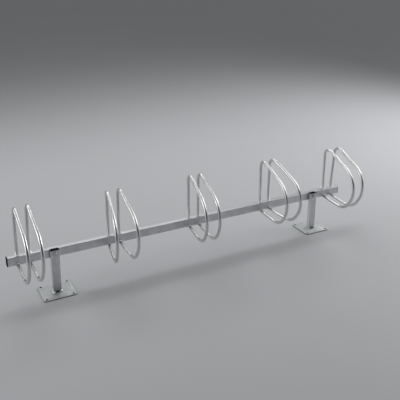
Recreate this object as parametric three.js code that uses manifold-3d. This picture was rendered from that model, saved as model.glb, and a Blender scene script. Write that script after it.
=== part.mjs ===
// A hoop bike rack for five bicycles. One long rectangular tube is bolted to two short posts,
// each welded to a base plate, and carries five pairs of bent round-tube hoops that hold a
// front wheel between them.
// Millimetres. +X runs along the beam, -Y is the side that the bicycles come in from, and +Z
// is up. The rack is laid out with the beam's front face at y zero, and then moved as a whole so
// that the origin is the middle of its extents, on the floor under the base plates.

import * as THREE from 'three';
import * as BufferGeometryUtils from 'three/addons/utils/BufferGeometryUtils.js';
import Module from 'manifold-3d';

const wasm = await Module();
wasm.setup();

// Fits that the whole rack shares
const seatGap = 0.3;
const cutOverrun = 4;

// Beam: a rectangular tube on its narrow side
const beamHeight = 45;
const beamDepth = 30;
const beamWall = 2;
const beamCorner = 3;
const beamUndersideHeight = 185;

// Plastic caps on the ends of the beam and on top of the posts: a flange over the tube's end,
// and a hollow plug inside it
const endCapFlange = 4;
const endCapPlugLength = 16;
const postCapFlange = 1.5;
const postCapPlugLength = 8;
const capPlugWall = 2;

// Base plates, with one anchor hole in each corner, set a little further back than the posts
const plateLength = 165;
const plateDepth = 150;
const plateThickness = 5;
const plateCorner = 12;
const anchorHoleDiameter = 12;
const anchorHoleEndInset = 16;
const anchorHoleSideInset = 12;
const plateSetback = 2.5;

// Posts: a rectangular tube in front of the beam and a little higher than it, with a half-round
// drain notch at the foot of its front wall
const postWidth = 42;
const postDepth = 25;
const postWall = 2;
const postCorner = 2.5;
const postTopRise = 1.5;
const leftPostInset = 220;
const rightPostInset = 203;
const drainNotchDiameter = 16;
const footWeldLeg = 5.5;

// The bolt that holds the beam to each post
const boltDiameter = 10;
const boltHoleClearance = 0.5;
const boltDrop = 15;
const boltHeadDiameter = 17.5;
const boltHeadHeight = 5.5;
const boltHeadRimHeight = 1.5;
const boltCrownShare = 0.55;
const boltShoulderShare = 0.8;
const boltSocketAcrossFlats = 6;
const boltSocketDepth = 3;
const boltEndPastNut = 4;
const nutAcrossFlats = 17;
const nutHeight = 8;
const washerDiameter = 21;
const washerThickness = 2;

// Hoop tube, and where the hoops stand along the beam
const tubeDiameter = 16;
const tubeWall = 1.5;
const pairPitch = 460;
const legSpacing = 58;
const endInset = 75;

// Corners of a hoop's centre line before bending, seen from the side. Reach is measured
// forwards from the back leg; rise and drop from the beam's top face and underside.
const crownRise = 278;
const kneeReach = 324;
const kneeRise = 136;
const toeReach = 210;
const toeDrop = 12;
const crownBend = 37;
const kneeBend = 131;
const toeBend = 100;
const bendRoomShare = 0.95;

// Small errors of the bent and welded hoops. Turn is in degrees about the back leg, positive
// where the hoop's front swings towards +X, and lean in degrees towards +X. Sag share is how
// much lower the crown came out, as a share of the most that any crown did.
const crownSag = 8;
const hoopSet = [
    { left: { turn: 1, lean: 0.5, sagShare: 0.75 }, right: { turn: 2, lean: 1, sagShare: 0 } },
    { left: { turn: -9.5, lean: -0.5, sagShare: 1 }, right: { turn: 1, lean: 0, sagShare: 1 } },
    { left: { turn: -6, lean: -0.5, sagShare: 0.5 }, right: { turn: -2.5, lean: 0, sagShare: 0.875 } },
    { left: { turn: 0, lean: 0, sagShare: 0 }, right: { turn: 7, lean: 0.5, sagShare: -0.25 } },
    { left: { turn: 0.5, lean: 0, sagShare: 0 }, right: { turn: 1, lean: 4, sagShare: 0 } },
];

// Weld beads: a fillet on the beam's top round each back leg, and a half ring on its front
// face over each lower leg
const collarLeg = 4.5;
const collarCrownShare = 0.55;
const beadThickness = 5.5;
const beadSeatShare = 0.2;

// Sizes and places that follow from the ones above
const pairCount = hoopSet.length;
const beamLength = (pairCount - 1) * pairPitch + 2 * endInset;
const beamTop = beamUndersideHeight + beamHeight;
const beamMiddleY = beamDepth / 2;
const postBackY = -seatGap;
const postFrontY = postBackY - postDepth;
const postMiddleY = (postBackY + postFrontY) / 2;
const postFootZ = plateThickness + seatGap;
const postTopZ = beamTop + postTopRise;
const boltZ = beamTop - boltDrop;
const boltHoleDiameter = boltDiameter + 2 * boltHoleClearance;
const posts = [
    { side: 'left', x: leftPostInset - beamLength / 2 },
    { side: 'right', x: beamLength / 2 - rightPostInset },
];

// Facets of round shapes
const holeSides = 16;
const washerSides = 16;
const tubeOuterSides = 12;
const tubeInnerSides = 8;
const collarSides = 12;
const beadSides = 6;
const beadRingSides = 18;
const cornerSteps = 4;
const degreesPerBendStep = 18;

// Materials, in the colours of zinc-coated steel and black plastic
const zincTube = () => new THREE.MeshStandardMaterial({ color: 0xc9cdd0, roughness: 0.28, metalness: 1 });
const zincBeam = () => new THREE.MeshStandardMaterial({ color: 0xa9adb3, roughness: 0.45, metalness: 1 });
const zincPlate = () => new THREE.MeshStandardMaterial({ color: 0xb4bcbf, roughness: 0.6, metalness: 0.9 });
const weldMetal = () => new THREE.MeshStandardMaterial({ color: 0xc2c4c4, roughness: 0.5, metalness: 1 });
const boltSteel = () => new THREE.MeshStandardMaterial({ color: 0x8f9398, roughness: 0.35, metalness: 1 });
const blackPlastic = () => new THREE.MeshStandardMaterial({ color: 0x16171a, roughness: 0.5, metalness: 0 });

// Solids for joins and cuts

function toSolid(geometry) {
    const bare = geometry.clone();
    bare.deleteAttribute('normal');
    bare.deleteAttribute('uv');
    const merged = BufferGeometryUtils.mergeVertices(bare);
    return new wasm.Manifold(new wasm.Mesh({
        numProp: 3,
        vertProperties: new Float32Array(merged.attributes.position.array),
        triVerts: new Uint32Array(merged.index.array),
    }));
}

function toGeometry(solid) {
    const mesh = solid.getMesh();
    const geometry = new THREE.BufferGeometry();
    geometry.setAttribute('position', new THREE.BufferAttribute(mesh.vertProperties, 3));
    geometry.setIndex(new THREE.BufferAttribute(mesh.triVerts, 1));
    geometry.computeVertexNormals();
    return geometry;
}

function cut(geometry, cutters) {
    let solid = toSolid(geometry);
    for (const cutter of cutters) {
        solid = solid.subtract(toSolid(cutter));
    }
    return toGeometry(solid);
}

function piece(name, geometry, material) {
    const mesh = new THREE.Mesh(geometry, material);
    mesh.name = name;
    return mesh;
}

// Shapes that several pieces use

// An outline's arcs are drawn with two facets for each of its curve segments
function straight(outline, depth, sides) {
    return new THREE.ExtrudeGeometry(outline, { depth, curveSegments: sides / 2, bevelEnabled: false });
}

function circle(diameter, x = 0, y = 0) {
    return new THREE.Shape().absarc(x, y, diameter / 2, 0, 2 * Math.PI);
}

function roundedRectangle(width, height, radius) {
    const shape = new THREE.Shape();
    const right = width / 2;
    const top = height / 2;
    const corner = Math.min(radius, right, top);
    shape.moveTo(corner - right, -top);
    shape.absarc(right - corner, corner - top, corner, -Math.PI / 2, 0);
    shape.absarc(right - corner, top - corner, corner, 0, Math.PI / 2);
    shape.absarc(corner - right, top - corner, corner, Math.PI / 2, Math.PI);
    shape.absarc(corner - right, corner - top, corner, Math.PI, 1.5 * Math.PI);
    return shape;
}

function rectangularTube(width, height, wall, corner, length) {
    const shape = roundedRectangle(width, height, corner);
    shape.holes.push(roundedRectangle(width - 2 * wall, height - 2 * wall, corner - wall));
    return straight(shape, length, cornerSteps);
}

function box(low, high) {
    const size = new THREE.Vector3().subVectors(high, low);
    const middle = new THREE.Vector3().addVectors(low, high).multiplyScalar(0.5);
    return new THREE.BoxGeometry(size.x, size.y, size.z).translate(middle.x, middle.y, middle.z);
}

function rodAlongY(diameter, fromY, toY, x, z, sides = holeSides) {
    const rod = new THREE.CylinderGeometry(diameter / 2, diameter / 2, toY - fromY, sides);
    return rod.translate(x, (fromY + toY) / 2, z);
}

function ring(innerDiameter, outerDiameter, thickness, sides) {
    const profile = [
        new THREE.Vector2(innerDiameter / 2, 0),
        new THREE.Vector2(outerDiameter / 2, 0),
        new THREE.Vector2(outerDiameter / 2, thickness),
        new THREE.Vector2(innerDiameter / 2, thickness),
        new THREE.Vector2(innerDiameter / 2, 0),
    ];
    return new THREE.LatheGeometry(profile, sides);
}

// Beam and caps

function beamBoltHole(post) {
    return rodAlongY(boltHoleDiameter, -cutOverrun, beamDepth + cutOverrun, post.x, boltZ);
}

function makeBeam() {
    const tube = rectangularTube(beamDepth, beamHeight, beamWall, beamCorner, beamLength);
    tube.rotateX(Math.PI / 2).rotateZ(Math.PI / 2);
    tube.translate(-beamLength / 2, beamMiddleY, beamUndersideHeight + beamHeight / 2);
    return piece('beam', cut(tube, posts.map(beamBoltHole)), zincBeam());
}

// A cap for the end of a rectangular tube, with its outer face at z zero and its plug along +Z
function tubeCap(width, height, wall, corner, flangeThickness, plugLength) {
    const plugWidth = width - 2 * wall - 2 * seatGap;
    const plugHeight = height - 2 * wall - 2 * seatGap;
    const plugOutline = roundedRectangle(plugWidth, plugHeight, Math.max(corner - wall, seatGap));
    const hollowWidth = plugWidth - 2 * capPlugWall;
    const hollowHeight = plugHeight - 2 * capPlugWall;
    const hollowOutline = roundedRectangle(hollowWidth, hollowHeight, seatGap);
    const flange = straight(roundedRectangle(width, height, corner), flangeThickness, cornerSteps);
    const plug = straight(plugOutline, flangeThickness / 2 + plugLength, cornerSteps);
    plug.translate(0, 0, flangeThickness / 2);
    const hollow = straight(hollowOutline, plugLength + cutOverrun, cornerSteps);
    hollow.translate(0, 0, flangeThickness);
    return toGeometry(toSolid(flange).add(toSolid(plug)).subtract(toSolid(hollow)));
}

function makeEndCap(side, facing) {
    const cap = tubeCap(beamDepth, beamHeight, beamWall, beamCorner, endCapFlange, endCapPlugLength);
    cap.rotateX(Math.PI / 2).rotateZ(-facing * Math.PI / 2);
    const mesh = piece(`end_cap_${side}`, cap, blackPlastic());
    mesh.position.x = facing * (beamLength / 2 + seatGap + endCapFlange);
    mesh.position.y = beamMiddleY;
    mesh.position.z = beamUndersideHeight + beamHeight / 2;
    return mesh;
}

function makePostCap(post) {
    const cap = tubeCap(postWidth, postDepth, postWall, postCorner, postCapFlange, postCapPlugLength);
    const mesh = piece(`post_cap_${post.side}`, cap.rotateX(Math.PI), blackPlastic());
    mesh.position.set(post.x, postMiddleY, postTopZ + seatGap + postCapFlange);
    return mesh;
}

// Posts with their base plates and foot welds

function makeBasePlate(post) {
    const outline = roundedRectangle(plateLength, plateDepth, plateCorner);
    const slab = straight(outline, plateThickness, cornerSteps);
    const holeX = plateLength / 2 - anchorHoleEndInset;
    const holeY = plateDepth / 2 - anchorHoleSideInset;
    const holes = [];
    for (const x of [-holeX, holeX]) {
        for (const y of [-holeY, holeY]) {
            const rim = circle(anchorHoleDiameter, x, y);
            const hole = straight(rim, plateThickness + 2 * cutOverrun, holeSides);
            holes.push(hole.translate(0, 0, -cutOverrun));
        }
    }
    const plate = piece(`base_plate_${post.side}`, cut(slab, holes), zincPlate());
    plate.position.set(post.x, postMiddleY + plateSetback, 0);
    return plate;
}

function makePost(post) {
    const height = postTopZ - postFootZ;
    const tube = rectangularTube(postWidth, postDepth, postWall, postCorner, height);
    tube.translate(0, postMiddleY, postFootZ);
    const outsideY = postFrontY - cutOverrun;
    const boltHole = rodAlongY(boltHoleDiameter, outsideY, cutOverrun, 0, boltZ);
    const frontWallEnd = postFrontY + postWall + cutOverrun;
    const notch = rodAlongY(drainNotchDiameter, outsideY, frontWallEnd, 0, postFootZ);
    const mesh = piece(`post_${post.side}`, cut(tube, [boltHole, notch]), zincBeam());
    mesh.position.x = post.x;
    return mesh;
}

// The weld goes round the post's foot from one side of the drain notch to the other
function makeFootWeld(post) {
    const innerWidth = postWidth + 2 * seatGap;
    const innerDepth = postDepth + 2 * seatGap;
    const outline = roundedRectangle(innerWidth, innerDepth, postCorner + seatGap);
    const bead = new THREE.ExtrudeGeometry(outline, {
        depth: seatGap,
        bevelThickness: footWeldLeg,
        bevelSize: footWeldLeg,
        bevelSegments: 2,
        curveSegments: cornerSteps / 2,
    });
    const under = box(
        new THREE.Vector3(-innerWidth, -innerDepth, -2 * footWeldLeg),
        new THREE.Vector3(innerWidth, innerDepth, 0),
    );
    const bore = straight(outline, 3 * footWeldLeg, cornerSteps).translate(0, 0, -footWeldLeg);
    const notch = rodAlongY(drainNotchDiameter, -innerDepth, 0, 0, 0);
    const mesh = piece(`post_foot_weld_${post.side}`, cut(bead, [under, bore, notch]), weldMetal());
    mesh.position.set(post.x, postMiddleY, postFootZ);
    return mesh;
}

// Bolts, washers and nuts

function hexagon(acrossFlats) {
    const shape = new THREE.Shape();
    const corner = acrossFlats / 2 / Math.cos(Math.PI / 6);
    for (let side = 0; side < 6; side += 1) {
        const angle = (side + 0.5) * Math.PI / 3;
        shape[side === 0 ? 'moveTo' : 'lineTo'](corner * Math.cos(angle), corner * Math.sin(angle));
    }
    return shape;
}

const frontWasherY = postFrontY - seatGap - washerThickness;
const boltHeadY = frontWasherY - seatGap;
const rearWasherY = beamDepth + seatGap;
const nutY = rearWasherY + washerThickness + seatGap;
const boltEndY = nutY + nutHeight + boltEndPastNut;

function makeBolt(post) {
    const headRadius = boltHeadDiameter / 2;
    const crownRadius = headRadius * boltCrownShare;
    const profile = [
        new THREE.Vector2(0, boltEndY),
        new THREE.Vector2(boltDiameter / 2, boltEndY),
        new THREE.Vector2(boltDiameter / 2, boltHeadY),
        new THREE.Vector2(headRadius, boltHeadY),
        new THREE.Vector2(headRadius, boltHeadY - boltHeadRimHeight),
        new THREE.Vector2((headRadius + crownRadius) / 2, boltHeadY - boltHeadHeight * boltShoulderShare),
        new THREE.Vector2(crownRadius, boltHeadY - boltHeadHeight),
        new THREE.Vector2(0, boltHeadY - boltHeadHeight),
    ].reverse();
    const bolt = new THREE.LatheGeometry(profile, washerSides);
    const socketTopY = boltHeadY - boltHeadHeight;
    const socketCut = straight(hexagon(boltSocketAcrossFlats), boltSocketDepth + cutOverrun, holeSides);
    socketCut.rotateX(Math.PI / 2).translate(0, socketTopY + boltSocketDepth, 0);
    const mesh = piece(`bolt_${post.side}`, cut(bolt, [socketCut]), boltSteel());
    mesh.position.set(post.x, 0, boltZ);
    return mesh;
}

function makeWasher(post, where, y) {
    const washer = ring(boltHoleDiameter, washerDiameter, washerThickness, washerSides);
    const mesh = piece(`${where}_washer_${post.side}`, washer, boltSteel());
    mesh.position.set(post.x, y, boltZ);
    return mesh;
}

function makeNut(post) {
    const shape = hexagon(nutAcrossFlats);
    shape.holes.push(circle(boltDiameter + 2 * seatGap));
    const nut = straight(shape, nutHeight, holeSides).rotateX(-Math.PI / 2);
    const mesh = piece(`nut_${post.side}`, nut, boltSteel());
    mesh.position.set(post.x, nutY, boltZ);
    return mesh;
}

// Hoops

// A path of straights and bends, stepped once along a straight and evenly round a bend. Its
// points are (reach, height) in the plane of the hoop.
class BentLine extends THREE.Curve {
    constructor(corners, bends) {
        super();
        this.stations = [corners[0]];
        const tangents = bends.map((radius, index) => {
            const angle = cornerAngle(corners, index + 1);
            return radius / Math.tan(angle / 2);
        });
        for (let index = 1; index < corners.length - 1; index += 1) {
            this.addBend(corners, index, tangents);
        }
        this.stations.push(corners[corners.length - 1]);
    }

    addBend(corners, index, tangents) {
        const [before, corner, after] = corners.slice(index - 1, index + 2);
        const into = before.clone().sub(corner);
        const out = after.clone().sub(corner);
        const roomBefore = into.length() * shareOf(tangents, index - 1, index - 2);
        const roomAfter = out.length() * shareOf(tangents, index - 1, index);
        const reach = Math.min(tangents[index - 1], roomBefore, roomAfter);
        into.normalize();
        out.normalize();
        const half = cornerAngle(corners, index) / 2;
        const radius = reach * Math.tan(half);
        const centre = into.clone().add(out).normalize().multiplyScalar(radius / Math.sin(half)).add(corner);
        const start = into.clone().multiplyScalar(reach).add(corner).sub(centre);
        const end = out.clone().multiplyScalar(reach).add(corner).sub(centre);
        const sweep = Math.atan2(start.cross(end), start.dot(end));
        const steps = Math.ceil(Math.abs(THREE.MathUtils.radToDeg(sweep)) / degreesPerBendStep);
        for (let step = 0; step <= steps; step += 1) {
            const point = start.clone().rotateAround(new THREE.Vector2(), sweep * step / steps);
            this.stations.push(point.add(centre));
        }
    }

    getPoint(t) {
        const place = Math.min(t, 1) * (this.stations.length - 1);
        const index = Math.min(Math.floor(place), this.stations.length - 2);
        const point = this.stations[index].clone().lerp(this.stations[index + 1], place - index);
        return new THREE.Vector3(0, -point.x, point.y);
    }

    getPointAt(t) {
        return this.getPoint(t);
    }

    getTangentAt(t) {
        return this.getTangent(t);
    }
}

function cornerAngle(corners, index) {
    const into = corners[index - 1].clone().sub(corners[index]);
    const out = corners[index + 1].clone().sub(corners[index]);
    return into.angleTo(out);
}

// The share of a straight that one bend may use, next to the bend at its other end
function shareOf(tangents, own, other) {
    if (other < 0 || other >= tangents.length) {
        return bendRoomShare;
    }
    return bendRoomShare * tangents[own] / (tangents[own] + tangents[other]);
}

function hoopLine(sagShare) {
    const corners = [
        new THREE.Vector2(0, beamTop - beamWall),
        new THREE.Vector2(0, beamTop + crownRise - sagShare * crownSag),
        new THREE.Vector2(kneeReach, beamTop + kneeRise),
        new THREE.Vector2(toeReach, beamUndersideHeight - toeDrop),
        new THREE.Vector2(0, beamUndersideHeight),
    ];
    return new BentLine(corners, [crownBend, kneeBend, toeBend]);
}

// Moves a shape from the hoop's upright plane to where the hoop is welded to the beam
function placeOnLeg(geometry, set) {
    geometry.translate(0, 0, -beamTop);
    geometry.rotateZ(THREE.MathUtils.degToRad(set.turn));
    geometry.rotateY(THREE.MathUtils.degToRad(set.lean));
    return geometry.translate(0, beamMiddleY, beamTop);
}

// The beam's own space, with the gap that touching pieces keep
function beamRoom() {
    return box(
        new THREE.Vector3(-beamLength, -seatGap, beamUndersideHeight - seatGap),
        new THREE.Vector3(beamLength, beamDepth + seatGap, beamTop + seatGap),
    );
}

function sweep(outline, line, sides) {
    return new THREE.ExtrudeGeometry(outline, {
        steps: line.stations.length - 1,
        extrudePath: line,
        curveSegments: sides / 2,
        bevelEnabled: false,
    });
}

function makeHoop(name, x, set) {
    const line = hoopLine(set.sagShare);
    const tube = placeOnLeg(sweep(circle(tubeDiameter), line, tubeOuterSides), set);
    const bore = placeOnLeg(sweep(circle(tubeDiameter - 2 * tubeWall), line, tubeInnerSides), set);
    const mesh = piece(name, cut(tube, [bore, beamRoom()]), zincTube());
    mesh.position.x = x;
    return mesh;
}

function makeCollar(name, x) {
    const inside = tubeDiameter / 2 + 2 * seatGap;
    const crown = collarLeg * collarCrownShare;
    const profile = [
        new THREE.Vector2(inside, 0),
        new THREE.Vector2(inside + collarLeg, 0),
        new THREE.Vector2(inside + crown, crown),
        new THREE.Vector2(inside, collarLeg),
        new THREE.Vector2(inside, 0),
    ];
    const collar = new THREE.LatheGeometry(profile, collarSides).rotateX(Math.PI / 2);
    const mesh = piece(name, collar, weldMetal());
    mesh.position.set(x, beamMiddleY, beamTop + seatGap);
    return mesh;
}

function makeBead(name, x, set) {
    const slope = Math.atan2(toeDrop, toeReach);
    const drop = beamMiddleY * Math.tan(slope);
    const ringRadius = tubeDiameter / 2 + seatGap + beadThickness * beadSeatShare;
    const alongLeg = (shape) => {
        shape.rotateX(slope).translate(0, -beamMiddleY, beamUndersideHeight - drop);
        return placeOnLeg(shape, set);
    };
    const room = 4 * tubeDiameter;
    const torus = new THREE.TorusGeometry(ringRadius, beadThickness / 2, beadSides, beadRingSides);
    const bead = alongLeg(torus.rotateX(Math.PI / 2));
    const leg = alongLeg(rodAlongY(tubeDiameter + 2 * seatGap, -room, room, 0, 0, tubeOuterSides));
    const below = box(
        new THREE.Vector3(-room, -room, beamUndersideHeight - room),
        new THREE.Vector3(room, room, beamUndersideHeight - seatGap),
    );
    const mesh = piece(name, cut(bead, [leg, beamRoom(), below]), weldMetal());
    mesh.position.x = x;
    return mesh;
}

const rack = new THREE.Group();
rack.add(makeBeam());
rack.add(makeEndCap('left', -1));
rack.add(makeEndCap('right', 1));
for (const post of posts) {
    rack.add(makeBasePlate(post));
    rack.add(makePost(post));
    rack.add(makePostCap(post));
    rack.add(makeFootWeld(post));
    rack.add(makeBolt(post));
    rack.add(makeWasher(post, 'front', frontWasherY));
    rack.add(makeWasher(post, 'rear', rearWasherY));
    rack.add(makeNut(post));
}
for (let pair = 0; pair < pairCount; pair += 1) {
    const middleX = (pair - (pairCount - 1) / 2) * pairPitch;
    for (const side of ['left', 'right']) {
        const x = middleX + (side === 'left' ? -legSpacing : legSpacing) / 2;
        const set = hoopSet[pair][side];
        const label = `${pair + 1}_${side}`;
        rack.add(makeHoop(`hoop_${label}`, x, set));
        rack.add(makeCollar(`top_weld_${label}`, x));
        rack.add(makeBead(`front_weld_${label}`, x, set));
    }
}

// The origin at the middle of the extents, on the floor
const extents = new THREE.Box3().setFromObject(rack);
const origin = extents.getCenter(new THREE.Vector3()).setZ(extents.min.z);
for (const mesh of rack.children) {
    mesh.position.sub(origin);
}

export default rack;
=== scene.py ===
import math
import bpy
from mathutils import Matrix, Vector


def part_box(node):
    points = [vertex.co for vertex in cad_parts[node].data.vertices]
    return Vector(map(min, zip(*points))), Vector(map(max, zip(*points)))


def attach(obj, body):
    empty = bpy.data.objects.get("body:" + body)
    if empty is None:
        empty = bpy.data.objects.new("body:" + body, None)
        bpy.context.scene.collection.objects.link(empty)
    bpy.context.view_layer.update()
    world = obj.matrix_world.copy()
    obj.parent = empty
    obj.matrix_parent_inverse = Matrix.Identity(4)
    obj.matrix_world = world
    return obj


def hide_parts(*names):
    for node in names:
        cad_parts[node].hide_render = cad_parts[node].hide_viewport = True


bl_info = {
    "name": "Hoop bike rack",
    "version": (1, 0, 0),
    "blender": (4, 5, 0),
    "location": "3D View > Sidebar > Bike rack",
    "description": "Finishes a hoop bike rack around its packed model and sets it on a plain stage",
    "category": "Object",
}

from collections import namedtuple
from itertools import accumulate

import bmesh
import bpy
from bpy.props import FloatProperty, FloatVectorProperty, PointerProperty
from mathutils import Matrix, Vector, noise

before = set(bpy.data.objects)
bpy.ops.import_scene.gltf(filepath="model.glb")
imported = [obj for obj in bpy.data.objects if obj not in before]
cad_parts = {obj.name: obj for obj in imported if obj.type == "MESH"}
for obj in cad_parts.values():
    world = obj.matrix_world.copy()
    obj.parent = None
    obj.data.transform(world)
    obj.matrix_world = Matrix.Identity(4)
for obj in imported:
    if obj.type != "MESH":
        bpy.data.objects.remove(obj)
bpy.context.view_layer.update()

# The beam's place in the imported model, and the labels of the pieces that come more than once
BEAM_LOW, BEAM_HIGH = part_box("beam")
BEAM_MIDDLE = (BEAM_LOW + BEAM_HIGH) / 2
SIDES = ("left", "right")
HOOPS = [f"{pair}_{side}" for pair in range(1, 6) for side in SIDES]

# How far each hoop is off: its turn about the back leg and its lean along the beam, in degrees,
# and how much lower its crown came out, in metres
HOOP_SET = {
    "1_left": (1, 0.5, 0.006),
    "1_right": (2, 1, 0),
    "2_left": (-9.5, -0.5, 0.008),
    "2_right": (1, 0, 0.008),
    "3_left": (-6, -0.5, 0.004),
    "3_right": (-2.5, 0, 0.007),
    "4_left": (0, 0, 0),
    "4_right": (7, 0.5, -0.002),
    "5_left": (0.5, 0, 0),
    "5_right": (1, 4, 0),
}

# How finely round shapes are drawn
ROUND_SIDES = 48
TUBE_SIDES = 40
CORNER_STEPS = 8
BEND_STEP = math.radians(3)
WELD_STEP = 0.0004
WELD_FACE_POINTS = 7

# The turn from which an edge counts as sharp, how far a cutter reaches past what it cuts and a hoop's leg
# into the beam's room, and how near two points have to be to count as one
SHARP_ANGLE = math.radians(32)
CUT_OVERRUN = 0.004
MERGE_DISTANCE = 1e-6

TUBE_MAP = "Tube"


# The sizes and colours that a user would change


def length(name, description, default):
    return FloatProperty(name=name, description=description, default=default, unit="LENGTH", precision=4)


def share(name, description, default):
    return FloatProperty(name=name, description=description, default=default, subtype="FACTOR")


def angle(name, description, degrees):
    return FloatProperty(name=name, description=description, default=math.radians(degrees), unit="ROTATION")


def colour(name, description, default):
    return FloatVectorProperty(
        name=name, description=description, default=default, subtype="COLOR", size=3, min=0, max=1
    )


class HoopSizes(bpy.types.PropertyGroup):
    """Sizes of the bent tubes"""

    diameter: length("Tube diameter", "Outside diameter of the tube", 0.016)
    wall: length("Tube wall", "Thickness of the tube's wall", 0.0015)
    crown_rise: length("Crown rise", "Height of the crown's corner over the beam", 0.278)
    knee_reach: length("Knee reach", "How far the knee's corner stands out from the back leg", 0.324)
    knee_rise: length("Knee rise", "Height of the knee's corner over the beam", 0.136)
    toe_reach: length("Toe reach", "How far the toe's corner stands out from the back leg", 0.210)
    toe_drop: length("Toe drop", "How far the toe's corner lies under the beam's underside", 0.012)
    crown_bend: length("Crown bend", "Bend radius at the crown", 0.037)
    knee_bend: length("Knee bend", "Bend radius at the knee", 0.131)
    toe_bend: length("Toe bend", "Bend radius at the toe", 0.100)
    flattening: share("Flattening", "How far the bends press the tube oval", 0.03)


class TubeSizes(bpy.types.PropertyGroup):
    """Sizes of the beam, the posts and their caps"""

    beam_wall: length("Beam wall", "Thickness of the beam's wall", 0.002)
    beam_corner: length("Beam corner", "Outside corner radius of the beam", 0.003)
    post_wall: length("Post wall", "Thickness of a post's wall", 0.002)
    post_corner: length("Post corner", "Outside corner radius of a post", 0.0025)
    hole: length("Bolt hole", "Diameter of the bolt holes in the beam and the posts", 0.011)
    notch: length("Drain notch", "Diameter of the half-round notch at a post's foot", 0.016)
    end_flange: length("End cap flange", "Thickness of the flange of a beam's end cap", 0.004)
    post_flange: length("Post cap flange", "Thickness of the flange of a post's cap", 0.0015)
    cap_round: length("Cap rounding", "Rounding of the caps' edges", 0.0012)


class PlateSizes(bpy.types.PropertyGroup):
    """Sizes of the base plates"""

    corner: length("Corner", "Corner radius of a plate", 0.012)
    hole: length("Anchor hole", "Diameter of an anchor hole", 0.012)
    end_inset: length("End inset", "Anchor hole's distance from the plate's ends", 0.016)
    side_inset: length("Side inset", "Anchor hole's distance from the plate's sides", 0.012)
    edge: length("Edge rounding", "Rounding of a plate's edges", 0.0007)


class WeldSizes(bpy.types.PropertyGroup):
    """Sizes of the welds"""

    top: length("Top weld", "Leg of the weld round each back leg", 0.0045)
    front: length("Front weld", "Leg of the weld over each lower leg", 0.0040)
    foot: length("Foot weld", "Leg of the weld round each post's foot", 0.0052)
    ripple: length("Ripple", "Distance from one ripple of a weld to the next", 0.0019)
    ripple_share: share("Ripple height", "Height of the ripples as a share of the weld's leg", 0.07)
    uneven_share: share("Unevenness", "How far a weld's leg varies along it", 0.22)


class FastenerSizes(bpy.types.PropertyGroup):
    """Sizes of the bolts, washers and nuts"""

    diameter: length("Bolt diameter", "Diameter of a bolt's shank", 0.010)
    rim: length("Head rim", "Height of the upright rim of a bolt's head", 0.0015)
    head: length("Head height", "Height of a bolt's head", 0.0055)
    socket: length("Socket", "Width across flats of the hexagonal socket", 0.006)
    socket_depth: length("Socket depth", "Depth of the socket", 0.003)
    pitch: length("Thread pitch", "Distance between threads", 0.0015)
    edge: length("Edge rounding", "Rounding of washers and heads, and the play round a bolt", 0.0003)


class FinishColours(bpy.types.PropertyGroup):
    """Colours of the finishes"""

    hoop: colour("Hoop zinc", "Bright zinc on the hoops", (0.78, 0.79, 0.78))
    hoop_dull: colour("Hoop dull zinc", "Duller streaks on the hoops", (0.65, 0.66, 0.66))
    beam: colour("Beam zinc", "Satin zinc on the beam and posts", (0.79, 0.79, 0.81))
    beam_dull: colour("Beam dull zinc", "Darker patches on the beam and posts", (0.64, 0.65, 0.68))
    plate: colour("Plate zinc", "Pale zinc on the base plates", (0.56, 0.58, 0.58))
    plate_dull: colour("Plate dull zinc", "Duller patches on the base plates", (0.48, 0.50, 0.50))
    weld: colour("Weld metal", "Bright patches of the welds", (0.93, 0.93, 0.92))
    weld_dull: colour("Weld shade", "Darker patches of the welds", (0.62, 0.62, 0.62))
    fastener: colour("Fastener zinc", "Plated bolts, nuts and washers", (0.84, 0.85, 0.87))
    fastener_dull: colour("Fastener dull zinc", "Worn plating", (0.60, 0.61, 0.63))
    cap: colour("Cap plastic", "Black plastic of the caps", (0.010, 0.010, 0.011))
    cap_worn: colour("Cap scuffs", "Scuffed plastic", (0.028, 0.028, 0.030))
    floor: colour("Floor", "Plain floor", (0.55, 0.56, 0.58))


class StageSettings(bpy.types.PropertyGroup):
    """The camera and the floor"""

    camera_offset: FloatVectorProperty(
        name="Camera place",
        description="From the foot of the beam's left front edge on the floor to the camera",
        default=(-0.3778, -2.6781, 1.6463),
        subtype="TRANSLATION",
        unit="LENGTH",
    )
    heading: angle("Heading", "Turn of the camera to the right of the beam's normal", 27.658)
    dip: angle("Dip", "How far the camera looks down", 16.899)
    roll: angle("Roll", "Turn of the camera about its own axis", -0.271)
    focal_pixels: FloatProperty(
        name="Focal length",
        description="Focal length in pixels of a picture 400 pixels wide",
        default=602.0,
    )
    middle_pixel_y: FloatProperty(
        name="Optical middle",
        description="How far the optical axis lies under the picture's top, in pixels",
        default=130.0,
    )
    floor_size: length("Floor size", "Width of the floor", 60.0)


# The picture's width and height in pixels, and the width of the camera's sensor in millimetres
PICTURE_SIZE = 400
SENSOR_WIDTH = 36.0

# The lamps: where each hangs, the spot it is aimed at, its width and depth in metres, and its watts
Lamp = namedtuple("Lamp", "place aim width depth watts")
LAMPS = {
    "key lamp": Lamp((4.0, 0.5, 2.2), (0, 0.4, 0.2), 3.4, 1.2, 86),
    "side lamp": Lamp((-4.0, 0.9, 2.0), (0, 0.4, 0.2), 3.0, 0.9, 49),
    "back lamp": Lamp((0.1, 2.2, 3.1), (0.1, 0.2, 0), 3.4, 1.3, 40),
}

# How bright the studio is, and how bright its walls are in reflections: from behind the camera (0)
# to behind the rack (1), and how much of that is left from level (0) to overhead (1)
PLAIN_WALLS = 0.19
WALL_STOPS = ((0.0, 0.04), (0.24, 0.05), (0.38, 1.12), (0.6, 1.12), (0.8, 0.4), (1.0, 0.28))
CEILING_STOPS = ((0.0, 1.0), (0.45, 0.9), (0.8, 0.35), (1.0, 0.25))

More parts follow.
